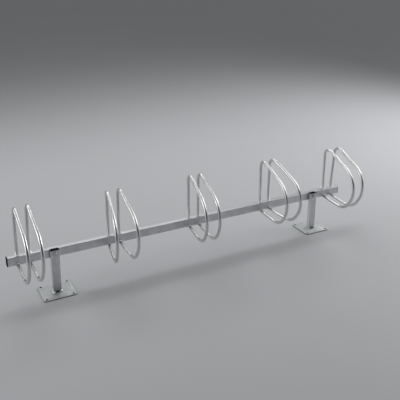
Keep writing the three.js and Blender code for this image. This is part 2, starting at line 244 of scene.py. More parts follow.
# The floor's paint: its clouds and grains to a metre, the shade of the darker clouds, its roughness,
# and the strength and depth of its grain
FLOOR_CLOUDS = 0.9
FLOOR_GRAINS = 300.0
FLOOR_SHADE = 0.985
FLOOR_ROUGHNESS = (0.68, 0.74)
FLOOR_RELIEF = 0.05
FLOOR_GRAIN_DEPTH = 0.0002


# Meshes from rings of points


def new_mesh(name, points, faces):
    mesh = bpy.data.meshes.new(name)
    mesh.from_pydata([tuple(point) for point in points], [], faces)
    work = bmesh.new()
    work.from_mesh(mesh)
    bmesh.ops.remove_doubles(work, verts=work.verts, dist=MERGE_DISTANCE)
    bmesh.ops.recalc_face_normals(work, faces=work.faces)
    work.to_mesh(mesh)
    work.free()
    return mesh


def skin(name, rings, looped, ring_closed=True):
    """A mesh over rings of as many points each, in a loop or with its ends closed"""
    count = len(rings[0])
    points = [point for ring in rings for point in ring]
    faces = []
    for row in range(len(rings) if looped else len(rings) - 1):
        here = row * count
        there = (row + 1) % len(rings) * count
        for column in range(count if ring_closed else count - 1):
            beside = (column + 1) % count
            faces.append((here + column, here + beside, there + beside, there + column))
    if not looped:
        faces.append(tuple(reversed(range(count))))
        faces.append(tuple(range(len(points) - count, len(points))))
    return new_mesh(name, points, faces)


def lathe(name, profile, middle, closed=False):
    """A round mesh about a line along Y through middle, from points (radius, y)"""
    rings = []
    for side in range(ROUND_SIDES):
        turn = 2 * math.pi * side / ROUND_SIDES
        across = Vector((math.cos(turn), 0, math.sin(turn)))
        rings.append([Vector((middle.x, y, middle.z)) + across * radius for radius, y in profile])
    return skin(name, rings, looped=True, ring_closed=closed)


def rounded_outline(width, height, radius):
    """Points of a rectangle with round corners about zero"""
    points = []
    for corner, (right, up) in enumerate(((1, 1), (-1, 1), (-1, -1), (1, -1))):
        centre = Vector((right * (width / 2 - radius), up * (height / 2 - radius)))
        for step in range(CORNER_STEPS + 1):
            turn = math.pi / 2 * (corner + step / CORNER_STEPS)
            points.append(centre + radius * Vector((math.cos(turn), math.sin(turn))))
    return points


def hexagon(across_flats):
    corner = across_flats / math.sqrt(3)
    turns = [math.pi / 3 * (side + 0.5) for side in range(6)]
    return [Vector((corner * math.cos(turn), corner * math.sin(turn))) for turn in turns]


def along_x(outline, x, middle):
    return [Vector((x, middle.y + point.x, middle.z + point.y)) for point in outline]


def along_y(outline, y, middle):
    return [Vector((middle.x + point.x, y, middle.z + point.y)) for point in outline]


def along_z(outline, z, middle):
    return [Vector((middle.x + point.x, middle.y + point.y, z)) for point in outline]


def rod(name, diameter, low_y, high_y, middle):
    radius = diameter / 2
    return lathe(name, [(0, low_y), (radius, low_y), (radius, high_y), (0, high_y)], middle)


def box_mesh(name, low, high):
    corners = [
        Vector((low.x, low.y)),
        Vector((high.x, low.y)),
        Vector((high.x, high.y)),
        Vector((low.x, high.y)),
    ]
    return skin(name, [along_z(corners, z, Vector()) for z in (low.z, high.z)], looped=False)


def linked(mesh):
    piece = bpy.data.objects.new(mesh.name, mesh)
    bpy.context.scene.collection.objects.link(piece)
    return piece


def applied(piece):
    """A mesh with the piece's modifiers applied, in place of the piece and its old mesh"""
    graph = bpy.context.evaluated_depsgraph_get()
    mesh = bpy.data.meshes.new_from_object(piece.evaluated_get(graph))
    old = piece.data
    bpy.data.objects.remove(piece)
    bpy.data.meshes.remove(old)
    return mesh


def combine(mesh, cutter_mesh, operation="DIFFERENCE"):
    """mesh with the other one cut away, or what the two share"""
    piece, cutter = linked(mesh), linked(cutter_mesh)
    change = piece.modifiers.new("Cut", "BOOLEAN")
    change.operation = operation
    change.solver = "EXACT"
    change.object = cutter
    made = applied(piece)
    bpy.data.objects.remove(cutter)
    bpy.data.meshes.remove(cutter_mesh)
    return made


def rounded(mesh, width, steps=2):
    """mesh with its sharp edges rounded"""
    piece = linked(mesh)
    bevel = piece.modifiers.new("Round", "BEVEL")
    bevel.width = width
    bevel.segments = steps
    bevel.limit_method = "ANGLE"
    bevel.angle_limit = SHARP_ANGLE
    bevel.miter_outer = "MITER_ARC"
    return applied(piece)


def finished(mesh, node, finish):
    """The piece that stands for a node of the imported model"""
    piece = linked(mesh)
    piece.name = f"finished_{node}"
    mesh.name = piece.name
    mesh.materials.clear()
    mesh.materials.append(finish)
    mesh.polygons.foreach_set("use_smooth", [True] * len(mesh.polygons))
    mesh.set_sharp_from_angle(angle=SHARP_ANGLE)
    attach(piece, "root")
    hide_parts(node)


# Finishes


# The colour of the painted shade that darkens corners, holes and faces close to other parts, the shares of
# open room at which it covers all and nothing, and how many rays feel for that
PAINTED_SHADE_COLOUR = (0.05, 0.05, 0.052)
PAINTED_SHADE_FADE = (0.35, 0.95)
PAINTED_SHADE_RAYS = 8

# Nearly all values of a noise lie in this range
NOISE_RANGE = (0.3, 0.7)

# A colour mix has several sockets of each name, so they go by number
MIX_FACTOR, MIX_FIRST, MIX_SECOND, MIX_RESULT = 0, 6, 7, 2

# A zinc coating: its roughness, about how many patches, crystals and grains there are to a metre, and the
# grain's depth and the reach of the painted shade in corners, in metres
Zinc = namedtuple("Zinc", "roughness patches crystals grains grain_depth grime_reach")
BEAM_ZINC = Zinc(0.40, 24.0, 210.0, 1100.0, 0.00009, 0.008)
PLATE_ZINC = Zinc(0.64, 42.0, 260.0, 1300.0, 0.00012, 0.018)
FASTENER_ZINC = Zinc(0.34, 160.0, 700.0, 2600.0, 0.00004, 0.008)
WELD_METAL = Zinc(0.36, 260.0, 620.0, 1900.0, 0.00014, 0.0012)

# What the zinc coatings share: what patches and crystals each give to the clouds, the cloud levels that are
# all dull and all bright, how the roughness varies with clouds and grain, and the relief's strength
PATCH_SHARE = 0.75
CRYSTAL_SHARE = 0.25
CLOUD_RANGE = (0.32, 0.68)
DULL_ROUGHER = 0.07
BRIGHT_SMOOTHER = 0.05
GRAIN_ROUGHNESS = 0.03
CRYSTAL_RELIEF = 0.15
ZINC_RELIEF = 0.5

# The hoops' bright zinc: how far and which way its reflections are drawn out, its streaks as counts round
# the tube and to a metre along it, what clouds and streaks each give to the wear, the wear levels that are
# all dull and all bright, the roughness where dull and where bright, and the relief
HOOP_DRAWN_OUT = 0.96
HOOP_DRAWN_TURN = 0.25
HOOP_CLOUDS = 38.0
HOOP_STREAKS = (4, 9, 1)
HOOP_FINE_STREAKS = (12, 26, 1)
HOOP_CLOUD_SHARE = 0.3
HOOP_STREAK_SHARE = 0.7
HOOP_WEAR_RANGE = (0.38, 0.66)
HOOP_ROUGHNESS = (0.23, 0.19)
HOOP_FINE_ROUGHNESS = 0.01
HOOP_FINE_RELIEF = 0.6
HOOP_GRAINS = 900.0
HOOP_RELIEF = 0.2
HOOP_GRAIN_DEPTH = 0.00001

# The caps' plastic: its weak sheen, its grain and scuffs to a metre, the noise levels at which a scuff
# starts and is full, the noise levels and roughness from smooth to rough, and the grain's relief
CAP_SHEEN = 0.03
CAP_GRAINS = 2400.0
CAP_SCUFFS = 140.0
CAP_SCUFF_RANGE = (0.58, 0.78)
CAP_ROUGH_RANGE = (0.3, 0.75)
CAP_ROUGHNESS = (0.62, 0.72)
CAP_RELIEF = 0.4
CAP_GRAIN_DEPTH = 0.00008


class Nodes:
    """The nodes of one finish"""

    def __init__(self, name, metallic):
        self.material = bpy.data.materials.new(name)
        self.material.use_nodes = True
        self.tree = self.material.node_tree
        self.shader = self.tree.nodes["Principled BSDF"]
        self.shader.inputs["Metallic"].default_value = metallic
        self.place = self.tree.nodes.new("ShaderNodeTexCoord").outputs["Object"]

    def add(self, kind, inputs, output=0, **settings):
        """One output of a new node, whose inputs are values or outputs of other nodes"""
        node = self.tree.nodes.new(kind)
        for key, value in settings.items():
            setattr(node, key, value)
        for socket, source in inputs.items():
            if isinstance(source, bpy.types.NodeSocket):
                self.tree.links.new(source, node.inputs[socket])
            else:
                node.inputs[socket].default_value = source
        return node.outputs[output]

    def noise(self, scale, detail=3.0, roughness=0.55, place=None):
        inputs = {"Vector": place or self.place, "Scale": scale, "Detail": detail, "Roughness": roughness}
        return self.add("ShaderNodeTexNoise", inputs, "Fac")

    def cells(self, scale):
        """One grey level for each crystal"""
        cell = self.add("ShaderNodeTexVoronoi", {"Vector": self.place, "Scale": scale}, "Color")
        return self.add("ShaderNodeSeparateColor", {"Color": cell}, "Red")

    def math(self, operation, first, second):
        return self.add("ShaderNodeMath", {0: first, 1: second}, operation=operation)

    def weighed(self, first, first_share, second, second_share):
        """The sum of two values, each times its own share"""
        first = self.math("MULTIPLY", first, first_share)
        return self.math("ADD", first, self.math("MULTIPLY", second, second_share))

    def spread(self, value, to_low, to_high, within=NOISE_RANGE):
        """The value within a range, spread from to_low to to_high"""
        low, high = within
        inputs = {"Value": value, "From Min": low, "From Max": high, "To Min": to_low, "To Max": to_high}
        return self.add("ShaderNodeMapRange", inputs)

    def mix(self, factor, first, second):
        """A colour between two, each given as numbers or as a socket"""
        node = self.tree.nodes.new("ShaderNodeMix")
        node.data_type = "RGBA"
        self.tree.links.new(factor, node.inputs[MIX_FACTOR])
        for number, value in ((MIX_FIRST, first), (MIX_SECOND, second)):
            if isinstance(value, bpy.types.NodeSocket):
                self.tree.links.new(value, node.inputs[number])
            else:
                node.inputs[number].default_value = (*value, 1)
        return node.outputs[MIX_RESULT]

    def with_painted_shade(self, base, reach):
        """The colour with painted shade where other faces stand closer than reach"""
        # Painted shade: ambient occlusion darkens the colour in corners, holes and where parts stand close
        open_share = self.add("ShaderNodeAmbientOcclusion", {"Distance": reach}, "AO", samples=PAINTED_SHADE_RAYS)
        return self.mix(self.spread(open_share, 1, 0, PAINTED_SHADE_FADE), base, PAINTED_SHADE_COLOUR)

    def stretched(self, scale):
        """The place round and along a tube, as counts round it and to a metre along it"""
        here = self.add("ShaderNodeUVMap", {}, uv_map=TUBE_MAP)
        return self.add("ShaderNodeMapping", {"Vector": here, "Scale": scale})

    def bump(self, height, strength, distance):
        inputs = {"Height": height, "Strength": strength, "Distance": distance}
        return self.add("ShaderNodeBump", inputs)

    def finish(self, base, roughness, normal):
        self.tree.links.new(base, self.shader.inputs["Base Color"])
        self.tree.links.new(roughness, self.shader.inputs["Roughness"])
        self.tree.links.new(normal, self.shader.inputs["Normal"])
        return self.material


def zinc(name, bright, dull, coat):
    """Zinc coating: cloudy patches, faint crystals, a fine grain, and painted shade in corners and hollows
    """
    nodes = Nodes(name, metallic=1.0)
    patches = nodes.noise(coat.patches, detail=5.0)
    crystals = nodes.cells(coat.crystals)
    cloud = nodes.weighed(patches, PATCH_SHARE, crystals, CRYSTAL_SHARE)
    clean = nodes.mix(nodes.spread(cloud, 1, 0, CLOUD_RANGE), bright, dull)
    # Painted shade darkens the zinc's colour in corners, holes and next to nearby parts
    base = nodes.with_painted_shade(clean, coat.grime_reach)
    grain = nodes.noise(coat.grains, detail=4.0, roughness=0.65)
    rough = nodes.math(
        "ADD",
        nodes.spread(cloud, coat.roughness + DULL_ROUGHER, coat.roughness - BRIGHT_SMOOTHER),
        nodes.spread(grain, -GRAIN_ROUGHNESS, GRAIN_ROUGHNESS),
    )
    relief = nodes.math("ADD", grain, nodes.math("MULTIPLY", crystals, CRYSTAL_RELIEF))
    return nodes.finish(base, rough, nodes.bump(relief, ZINC_RELIEF, coat.grain_depth))


def hoop_zinc(colours):
    """Bright plated tube: drawing streaks along it under the zinc's faint clouds"""
    nodes = Nodes("hoop zinc", metallic=1.0)
    nodes.shader.inputs["Anisotropic"].default_value = HOOP_DRAWN_OUT
    nodes.shader.inputs["Anisotropic Rotation"].default_value = HOOP_DRAWN_TURN
    tangent = nodes.add("ShaderNodeTangent", {}, direction_type="UV_MAP", uv_map=TUBE_MAP)
    nodes.tree.links.new(tangent, nodes.shader.inputs["Tangent"])
    clouds = nodes.noise(HOOP_CLOUDS, detail=5.0)
    streaks = nodes.noise(1.0, detail=3.0, place=nodes.stretched(HOOP_STREAKS))
    fine = nodes.noise(1.0, detail=2.0, place=nodes.stretched(HOOP_FINE_STREAKS))
    wear = nodes.weighed(clouds, HOOP_CLOUD_SHARE, streaks, HOOP_STREAK_SHARE)
    base = nodes.mix(nodes.spread(wear, 1, 0, HOOP_WEAR_RANGE), colours.hoop, colours.hoop_dull)
    rough = nodes.math(
        "ADD",
        nodes.spread(wear, *HOOP_ROUGHNESS),
        nodes.spread(fine, -HOOP_FINE_ROUGHNESS, HOOP_FINE_ROUGHNESS),
    )
    grain = nodes.noise(HOOP_GRAINS, detail=2.0)
    relief = nodes.math("ADD", nodes.math("MULTIPLY", fine, HOOP_FINE_RELIEF), grain)
    return nodes.finish(base, rough, nodes.bump(relief, HOOP_RELIEF, HOOP_GRAIN_DEPTH))


def beam_zinc(colours):
    return zinc("beam zinc", colours.beam, colours.beam_dull, BEAM_ZINC)


def plate_zinc(colours):
    return zinc("plate zinc", colours.plate, colours.plate_dull, PLATE_ZINC)


def fastener_zinc(colours):
    return zinc("fastener zinc", colours.fastener, colours.fastener_dull, FASTENER_ZINC)


def weld_metal(colours):
    return zinc("weld metal", colours.weld, colours.weld_dull, WELD_METAL)


def cap_plastic(colours):
    """Moulded plastic with a fine spark-eroded grain and a few scuffs"""
    nodes = Nodes("cap plastic", metallic=0.0)
    nodes.shader.inputs["Specular IOR Level"].default_value = CAP_SHEEN
    grain = nodes.noise(CAP_GRAINS, detail=3.0)
    scuffs = nodes.noise(CAP_SCUFFS, detail=6.0, roughness=0.7)
    base = nodes.mix(nodes.spread(scuffs, 0, 1, CAP_SCUFF_RANGE), colours.cap, colours.cap_worn)
    rough = nodes.spread(scuffs, *CAP_ROUGHNESS, CAP_ROUGH_RANGE)
    return nodes.finish(base, rough, nodes.bump(grain, CAP_RELIEF, CAP_GRAIN_DEPTH))


# Hoops


def bend_line(corners, radii):
    """Stations of a bent line: points (reach, height), tangents, and how bent each is, from 0 to 1"""
    stations = []

    def add(point, tangent, bent):
        stations.append((point, tangent.normalized(), bent))

    add(corners[0], corners[1] - corners[0], 0)
    for before, corner, after, radius in zip(corners, corners[1:], corners[2:], radii):
        into, out = (before - corner).normalized(), (after - corner).normalized()
        half = into.angle(out) / 2
        centre = corner + (into + out).normalized() * radius / math.sin(half)
        start = corner + into * radius / math.tan(half) - centre
        sweep = math.pi - 2 * half
        turning = 1 if into.x * out.y - into.y * out.x < 0 else -1
        steps = math.ceil(sweep / BEND_STEP)
        for step in range(steps + 1):
            spin = Matrix.Rotation(turning * sweep * step / steps, 2)
            add(centre + spin @ start, spin @ -into, math.sin(math.pi * step / steps) ** 0.5)
    add(corners[-1], corners[-1] - corners[-2], 0)
    return stations


def hoop_line(sizes, sag):
    depth = BEAM_HIGH.z - BEAM_LOW.z
    corners = [
        Vector((0, -CUT_OVERRUN)),
        Vector((0, sizes.crown_rise - sag)),
        Vector((sizes.knee_reach, sizes.knee_rise)),
        Vector((sizes.toe_reach, -depth - sizes.toe_drop)),
        Vector((0, -depth)),
    ]
    return bend_line(corners, (sizes.crown_bend, sizes.knee_bend, sizes.toe_bend))


def leg_place(label):
    """From the hoop's own frame, with the back leg's foot at zero, to where it stands on the beam"""
    turn, lean = (math.radians(degrees) for degrees in HOOP_SET[label][:2])
    low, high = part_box(f"top_weld_{label}")
    foot = Vector(((low.x + high.x) / 2, BEAM_MIDDLE.y, BEAM_HIGH.z))
    return Matrix.Translation(foot) @ Matrix.Rotation(lean, 4, "Y") @ Matrix.Rotation(turn, 4, "Z")


def tube_ring(station, radius, flattening):
    point, tangent, bent = station
    centre = Vector((0, -point.x, point.y))
    outward = Vector((0, -tangent.y, -tangent.x))
    sideways = Vector((1, 0, 0))
    high, wide = radius * (1 - flattening * bent), radius * (1 + flattening * bent / 2)
    ring = []
    for side in range(TUBE_SIDES):
        turn = 2 * math.pi * side / TUBE_SIDES
        ring.append(centre + sideways * wide * math.cos(turn) + outward * high * math.sin(turn))
    return ring


def hoop_mesh(label, sizes):
    """A hollow tube along the bent line, with the beam's room cut out of its ends"""
    line = hoop_line(sizes, sag=HOOP_SET[label][2])
    outside = [tube_ring(station, sizes.diameter / 2, sizes.flattening) for station in line]
    inside = [tube_ring(station, sizes.diameter / 2 - sizes.wall, sizes.flattening) for station in line]
    mesh = skin(f"hoop {label}", outside + inside[::-1], looped=True)
    lay_tube_map(mesh, line)
    mesh.transform(leg_place(label))
    return combine(mesh, box_mesh("beam room", BEAM_LOW, BEAM_HIGH))


def lay_tube_map(mesh, line):
    """The tube's own UV map: the share of the way round, and the metres along"""
    travelled = [0.0]
    for (before, _, _), (after, _, _) in zip(line, line[1:]):
        travelled.append(travelled[-1] + (after - before).length)
    travelled += travelled[::-1]
    rows = len(travelled)
    layer = mesh.uv_layers.new(name=TUBE_MAP)
    for face in mesh.polygons:
        columns = [mesh.loops[corner].vertex_index % TUBE_SIDES for corner in face.loop_indices]
        seam = max(columns) - min(columns) > 1
        for corner, column in zip(face.loop_indices, columns):
            row = mesh.loops[corner].vertex_index // TUBE_SIDES % rows
            around = TUBE_SIDES if seam and column == 0 else column
            layer.data[corner].uv = (around / TUBE_SIDES, travelled[row])


# Rectangular tubes, caps and plates


# The least inside corner as a share of the wall, the most rounding of a cap as a share of its flange,
# and how many walls a cap's plug and the hollow in it are smaller than the flange
LEAST_CORNER_SHARE = 0.25
MOST_ROUNDING_SHARE = 0.8
PLUG_WALLS = 2.3
HOLLOW_WALLS = 4.3


def rectangular_tube(name, width, height, wall, corner, place, stations):
    """A hollow rectangular tube; place(outline, station) puts an outline in the frame"""
    outside = rounded_outline(width, height, corner)
    inside_corner = max(corner - wall, wall * LEAST_CORNER_SHARE)
    inside = rounded_outline(width - 2 * wall, height - 2 * wall, inside_corner)
    rings = [place(outside, station) for station in stations]
    rings += [place(inside, station) for station in reversed(stations)]
    return skin(name, rings, looped=True)


def beam_mesh(sizes):
    size = BEAM_HIGH - BEAM_LOW
    mesh = rectangular_tube(
        "beam", size.y, size.z, sizes.beam_wall, sizes.beam_corner,
        lambda outline, x: along_x(outline, x, BEAM_MIDDLE), (BEAM_LOW.x, BEAM_HIGH.x),
    )
    for side in SIDES:
        low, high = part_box(f"bolt_{side}")
        ends = BEAM_LOW.y - CUT_OVERRUN, BEAM_HIGH.y + CUT_OVERRUN
        mesh = combine(mesh, rod("bolt hole", sizes.hole, *ends, (low + high) / 2))
    return mesh


def cap_mesh(name, width, height, corner, flange, place, face, plug_end, sizes):
    """A flange from face on, soft there, and a hollow plug to plug_end, put in the frame by place"""
    soft = min(sizes.cap_round, MOST_ROUNDING_SHARE * flange)
    inward = 1 if plug_end > face else -1
    rings = []
    for step in range(CORNER_STEPS + 1):
        turn = math.pi / 2 * step / CORNER_STEPS
        inset = soft * (1 - math.sin(turn))
        outline = rounded_outline(width - 2 * inset, height - 2 * inset, corner - inset)
        rings.append(place(outline, face + inward * soft * (1 - math.cos(turn))))
    back = face + inward * flange
    rings.append(place(rounded_outline(width, height, corner), back))
    plug_room = PLUG_WALLS * sizes.beam_wall
    hollow_room = HOLLOW_WALLS * sizes.beam_wall
    plug = rounded_outline(width - plug_room, height - plug_room, corner / 2)
    hollow = rounded_outline(width - hollow_room, height - hollow_room, corner / 3)
    rings += [place(plug, back), place(plug, plug_end), place(hollow, plug_end), place(hollow, back)]
    return skin(name, rings, looped=False)


def end_cap_mesh(side, sizes):
    low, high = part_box(f"end_cap_{side}")
    face, plug_end = (high.x, low.x) if side == "right" else (low.x, high.x)
    middle = (low + high) / 2
    return cap_mesh(
        f"end cap {side}", high.y - low.y, high.z - low.z, sizes.beam_corner, sizes.end_flange,
        lambda outline, x: along_x(outline, x, middle), face, plug_end, sizes,
    )


def post_cap_mesh(side, sizes):
    low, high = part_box(f"post_cap_{side}")
    middle = (low + high) / 2
    return cap_mesh(
        f"post cap {side}", high.x - low.x, high.y - low.y, sizes.post_corner, sizes.post_flange,
        lambda outline, z: along_z(outline, z, middle), high.z, low.z, sizes,
    )


def post_mesh(side, sizes):
    low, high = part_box(f"post_{side}")
    middle = (low + high) / 2
    mesh = rectangular_tube(
        "post", high.x - low.x, high.y - low.y, sizes.post_wall, sizes.post_corner,
        lambda outline, z: along_z(outline, z, middle), (low.z, high.z),
    )
    bolt_low, bolt_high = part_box(f"bolt_{side}")
    bolt = (bolt_low + bolt_high) / 2
    through = rod("bolt hole", sizes.hole, low.y - CUT_OVERRUN, high.y + CUT_OVERRUN, bolt)
    mesh = combine(mesh, through)
    foot = Vector((middle.x, 0, low.z))
    return combine(mesh, rod("drain notch", sizes.notch, low.y - CUT_OVERRUN, middle.y, foot))


def base_plate_mesh(side, sizes):
    low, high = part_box(f"base_plate_{side}")
    middle = (low + high) / 2
    outline = rounded_outline(high.x - low.x, high.y - low.y, sizes.corner)
    mesh = skin("base plate", [along_z(outline, z, middle) for z in (low.z, high.z)], looped=False)
    ends = low.z - CUT_OVERRUN, high.z + CUT_OVERRUN
    turns = [2 * math.pi * step / ROUND_SIDES for step in range(ROUND_SIDES)]
    rim = [Vector((math.cos(turn), math.sin(turn))) * sizes.hole / 2 for turn in turns]
    for x in (low.x + sizes.end_inset, high.x - sizes.end_inset):
        for y in (low.y + sizes.side_inset, high.y - sizes.side_inset):
            hole = skin("anchor hole", [along_z(rim, z, Vector((x, y, 0))) for z in ends], looped=False)
            mesh = combine(mesh, hole)
    return rounded(mesh, sizes.edge)


# Welds


# How flat a weld's face is, from round (0) to straight (1), how often to a metre its leg wanders, how
# far that shifts its ripples, and the share of its leg that a foot weld keeps from the drain notch
WELD_FLATNESS = 0.4
WANDER_SCALE = 90
WANDER_SHIFT = 2.5
NOTCH_ROOM_SHARE = 0.25

# Where on the lower leg's round the front weld starts, and how far it goes
FRONT_WELD_START = math.radians(2)
FRONT_WELD_SWEEP = math.radians(176)


def weld_section(leg):
    """Points (out, up) of a weld in a corner, with a crowned face"""
    points = [(0, 0)]
    for step in range(WELD_FACE_POINTS):
        way = step / (WELD_FACE_POINTS - 1)
        turn = math.pi / 2 * way
        arc = Vector((math.cos(turn), math.sin(turn)))
        chord = Vector((1 - way, way))
        points.append(tuple(leg * arc.lerp(chord, WELD_FLATNESS)))
    return points


def weld_mesh(name, path, leg, sizes, seed, looped):
    """A rippled weld along a path of (point, outward, up); an open one thins out at its ends"""
    steps = [(there[0] - here[0]).length for here, there in zip(path, path[1:])]
    whole = sum(steps)
    rings = []
    for (point, outward, up), way in zip(path, accumulate([0.0] + steps)):
        wander = noise.noise(point * WANDER_SCALE + Vector((seed, 0, 0)))
        phase = 2 * math.pi * way / sizes.ripple + WANDER_SHIFT * wander
        size = leg * (1 + sizes.ripple_share * math.sin(phase) + sizes.uneven_share * wander)
        if not looped:
            to_end = min(way, whole - way) + WELD_STEP
            size *= min(1, to_end / leg) ** 0.5
        rings.append([point + outward * across + up * over for across, over in weld_section(size)])
    return skin(name, rings, looped=looped)


def ring_path(centre, radius, out_axis, side_axis, up, start=0.0, sweep=2 * math.pi):
    """A weld's path of (point, outward, up) round a circle, or round a part of one"""
    looped = sweep >= 2 * math.pi
    steps = math.ceil(radius * sweep / WELD_STEP)
    path = []
    for step in range(steps if looped else steps + 1):
        turn = start + sweep * step / steps
        outward = out_axis * math.cos(turn) + side_axis * math.sin(turn)
        path.append((centre + outward * radius, outward, up))
    return path


def top_weld_mesh(label, hoops, sizes, seed):
    low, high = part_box(f"top_weld_{label}")
    foot = Vector(((low.x + high.x) / 2, (low.y + high.y) / 2, BEAM_HIGH.z))
    x_axis, y_axis, up = Vector((1, 0, 0)), Vector((0, 1, 0)), Vector((0, 0, 1))
    path = ring_path(foot, hoops.diameter / 2, x_axis, y_axis, up)
    return weld_mesh(f"top weld {label}", path, sizes.top, sizes, seed, looped=True)


def front_weld_mesh(label, hoops, sizes, seed):
    """A weld over the lower leg, in the corner between it and the beam's front face"""
    depth = BEAM_HIGH.z - BEAM_LOW.z
    half_beam = BEAM_MIDDLE.y - BEAM_LOW.y
    drop = half_beam * hoops.toe_drop / hoops.toe_reach
    place = leg_place(label)
    centre = place @ Vector((0, -half_beam, -depth - drop))
    centre.y = BEAM_LOW.y
    forward = Vector((0, -1, 0))
    path = ring_path(
        centre, hoops.diameter / 2, Vector((1, 0, 0)), Vector((0, 0, 1)), forward,
        start=FRONT_WELD_START, sweep=FRONT_WELD_SWEEP,
    )
    return weld_mesh(f"front weld {label}", path, sizes.front, sizes, seed, looped=False)


def foot_weld_mesh(side, tubes, sizes, seed):
    """A weld round the post's foot, from one side of the drain notch to the other"""
    low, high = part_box(f"post_{side}")
    middle = (low + high) / 2
    foot_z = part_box(f"base_plate_{side}")[1].z
    straight = Vector((high.x - low.x, high.y - low.y)) / 2
    path = []
    outline = rounded_outline(2 * straight.x, 2 * straight.y, tubes.post_corner)
    front_right = 3 * (CORNER_STEPS + 1)
    outline = outline[front_right:] + outline[:front_right]
    notch_side = Vector((tubes.notch / 2 + sizes.foot * NOTCH_ROOM_SHARE, -straight.y))
    outline = [notch_side, *outline, Vector((-notch_side.x, notch_side.y))]
    for here, there in zip(outline, outline[1:]):
        steps = math.ceil((there - here).length / WELD_STEP)
        for step in range(steps):
            point = here.lerp(there, step / steps)
            inner = Vector((
                min(max(point.x, tubes.post_corner - straight.x), straight.x - tubes.post_corner),
                min(max(point.y, tubes.post_corner - straight.y), straight.y - tubes.post_corner),
            ))
            outward = (point - inner).normalized()
            spot = Vector((middle.x + point.x, middle.y + point.y, foot_z))
            path.append((spot, outward.to_3d(), Vector((0, 0, 1))))
    return weld_mesh(f"foot weld {side}", path, sizes.foot, sizes, seed, looped=False)


# Fasteners


# The flat crown of a bolt's head as a share of its radius, the depth of a thread's groove as a share of
# its pitch, the round face of a nut as a share of its width, and how steeply its corners are turned off
CROWN_SHARE = 0.52
GROOVE_SHARE = 0.35
NUT_FACE_SHARE = 0.97
NUT_SLOPE = math.radians(30)


def bolt_mesh(side, sizes):
    """A low round head with a hexagonal socket, and an end with ring grooves for a thread"""
    low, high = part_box(f"bolt_{side}")
    middle = (low + high) / 2
    head_radius = (high.x - low.x) / 2
    shank = sizes.diameter / 2
    seat = low.y + sizes.head
    crown = head_radius * CROWN_SHARE
    profile = [(0, low.y), (crown - sizes.edge, low.y)]
    for step in range(CORNER_STEPS + 1):
        turn = math.pi / 2 * step / CORNER_STEPS
        radius = crown + (head_radius - crown) * math.sin(turn)
        profile.append((radius, seat - sizes.rim - (sizes.head - sizes.rim) * math.cos(turn)))
    profile += [(head_radius, seat - sizes.edge), (head_radius - sizes.edge, seat), (shank, seat)]
    thread_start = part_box(f"rear_washer_{side}")[1].y
    groove = sizes.pitch * GROOVE_SHARE
    turns = int((high.y - thread_start) / sizes.pitch)
    for turn in range(turns):
        y = high.y - sizes.pitch * (turns - turn)
        profile += [(shank, y), (shank - groove, y + sizes.pitch / 2)]
    profile += [(shank, high.y - sizes.edge), (shank - groove, high.y), (0, high.y)]
    mesh = lathe(f"bolt {side}", profile, middle)
    outline = hexagon(sizes.socket)
    ends = low.y - CUT_OVERRUN, low.y + sizes.socket_depth
    socket = skin("socket", [along_y(outline, y, middle) for y in ends], looped=False)
    return rounded(combine(mesh, socket), sizes.edge / 2, steps=1)


def washer_mesh(where, side, sizes):
    low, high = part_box(f"{where}_washer_{side}")
    edge = sizes.edge
    inner, outer = sizes.diameter / 2 + edge, (high.x - low.x) / 2
    profile = [
        (inner, low.y), (outer - edge, low.y), (outer, low.y + edge), (outer, high.y - edge),
        (outer - edge, high.y), (inner, high.y),
    ]
    return lathe(f"{where} washer {side}", profile, (low + high) / 2, closed=True)


def nut_mesh(side, sizes):
    """A hexagon with its corners turned off at both ends"""
    low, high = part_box(f"nut_{side}")
    middle = (low + high) / 2
    flats = high.x - low.x
    outline = hexagon(flats)
    prism = skin("nut", [along_y(outline, y, middle) for y in (low.y, high.y)], looped=False)
    face = flats / 2 * NUT_FACE_SHARE
    corner = flats / math.sqrt(3)
    slope = (corner - face) * math.tan(NUT_SLOPE)
    barrel = [
        (0, low.y - sizes.edge),
        (face, low.y - sizes.edge),
        (face, low.y),
        (corner + sizes.edge, low.y + slope),
        (corner + sizes.edge, high.y - slope),
        (face, high.y),
        (face, high.y + sizes.edge),
        (0, high.y + sizes.edge),
    ]
    mesh = combine(prism, lathe("barrel", barrel, middle), "INTERSECT")
    hole = rod("nut hole", sizes.diameter + sizes.edge, low.y - CUT_OVERRUN, high.y + CUT_OVERRUN, middle)
    return combine(mesh, hole)


# Stage


def add_camera(stage):
    cosine, sine = math.cos(stage.roll), math.sin(stage.roll)
    forward = Vector((
        math.sin(stage.heading) * math.cos(stage.dip),
        math.cos(stage.heading) * math.cos(stage.dip),
        -math.sin(stage.dip),
    ))
    level = Vector((math.cos(stage.heading), -math.sin(stage.heading), 0))
    down = forward.cross(level)
    right = cosine * level + sine * down
    up = sine * level - cosine * down
    data = bpy.data.cameras.new("camera")
    camera = bpy.data.objects.new("camera", data)
    bpy.context.scene.collection.objects.link(camera)
    place = Matrix((right, up, -forward)).transposed().to_4x4()
    place.translation = Vector((BEAM_LOW.x, BEAM_LOW.y, 0)) + Vector(stage.camera_offset)
    camera.matrix_world = place
    data.sensor_width = SENSOR_WIDTH
    data.lens = stage.focal_pixels / PICTURE_SIZE * SENSOR_WIDTH
    data.shift_y = (stage.middle_pixel_y - PICTURE_SIZE / 2) / PICTURE_SIZE
    bpy.context.scene.camera = camera


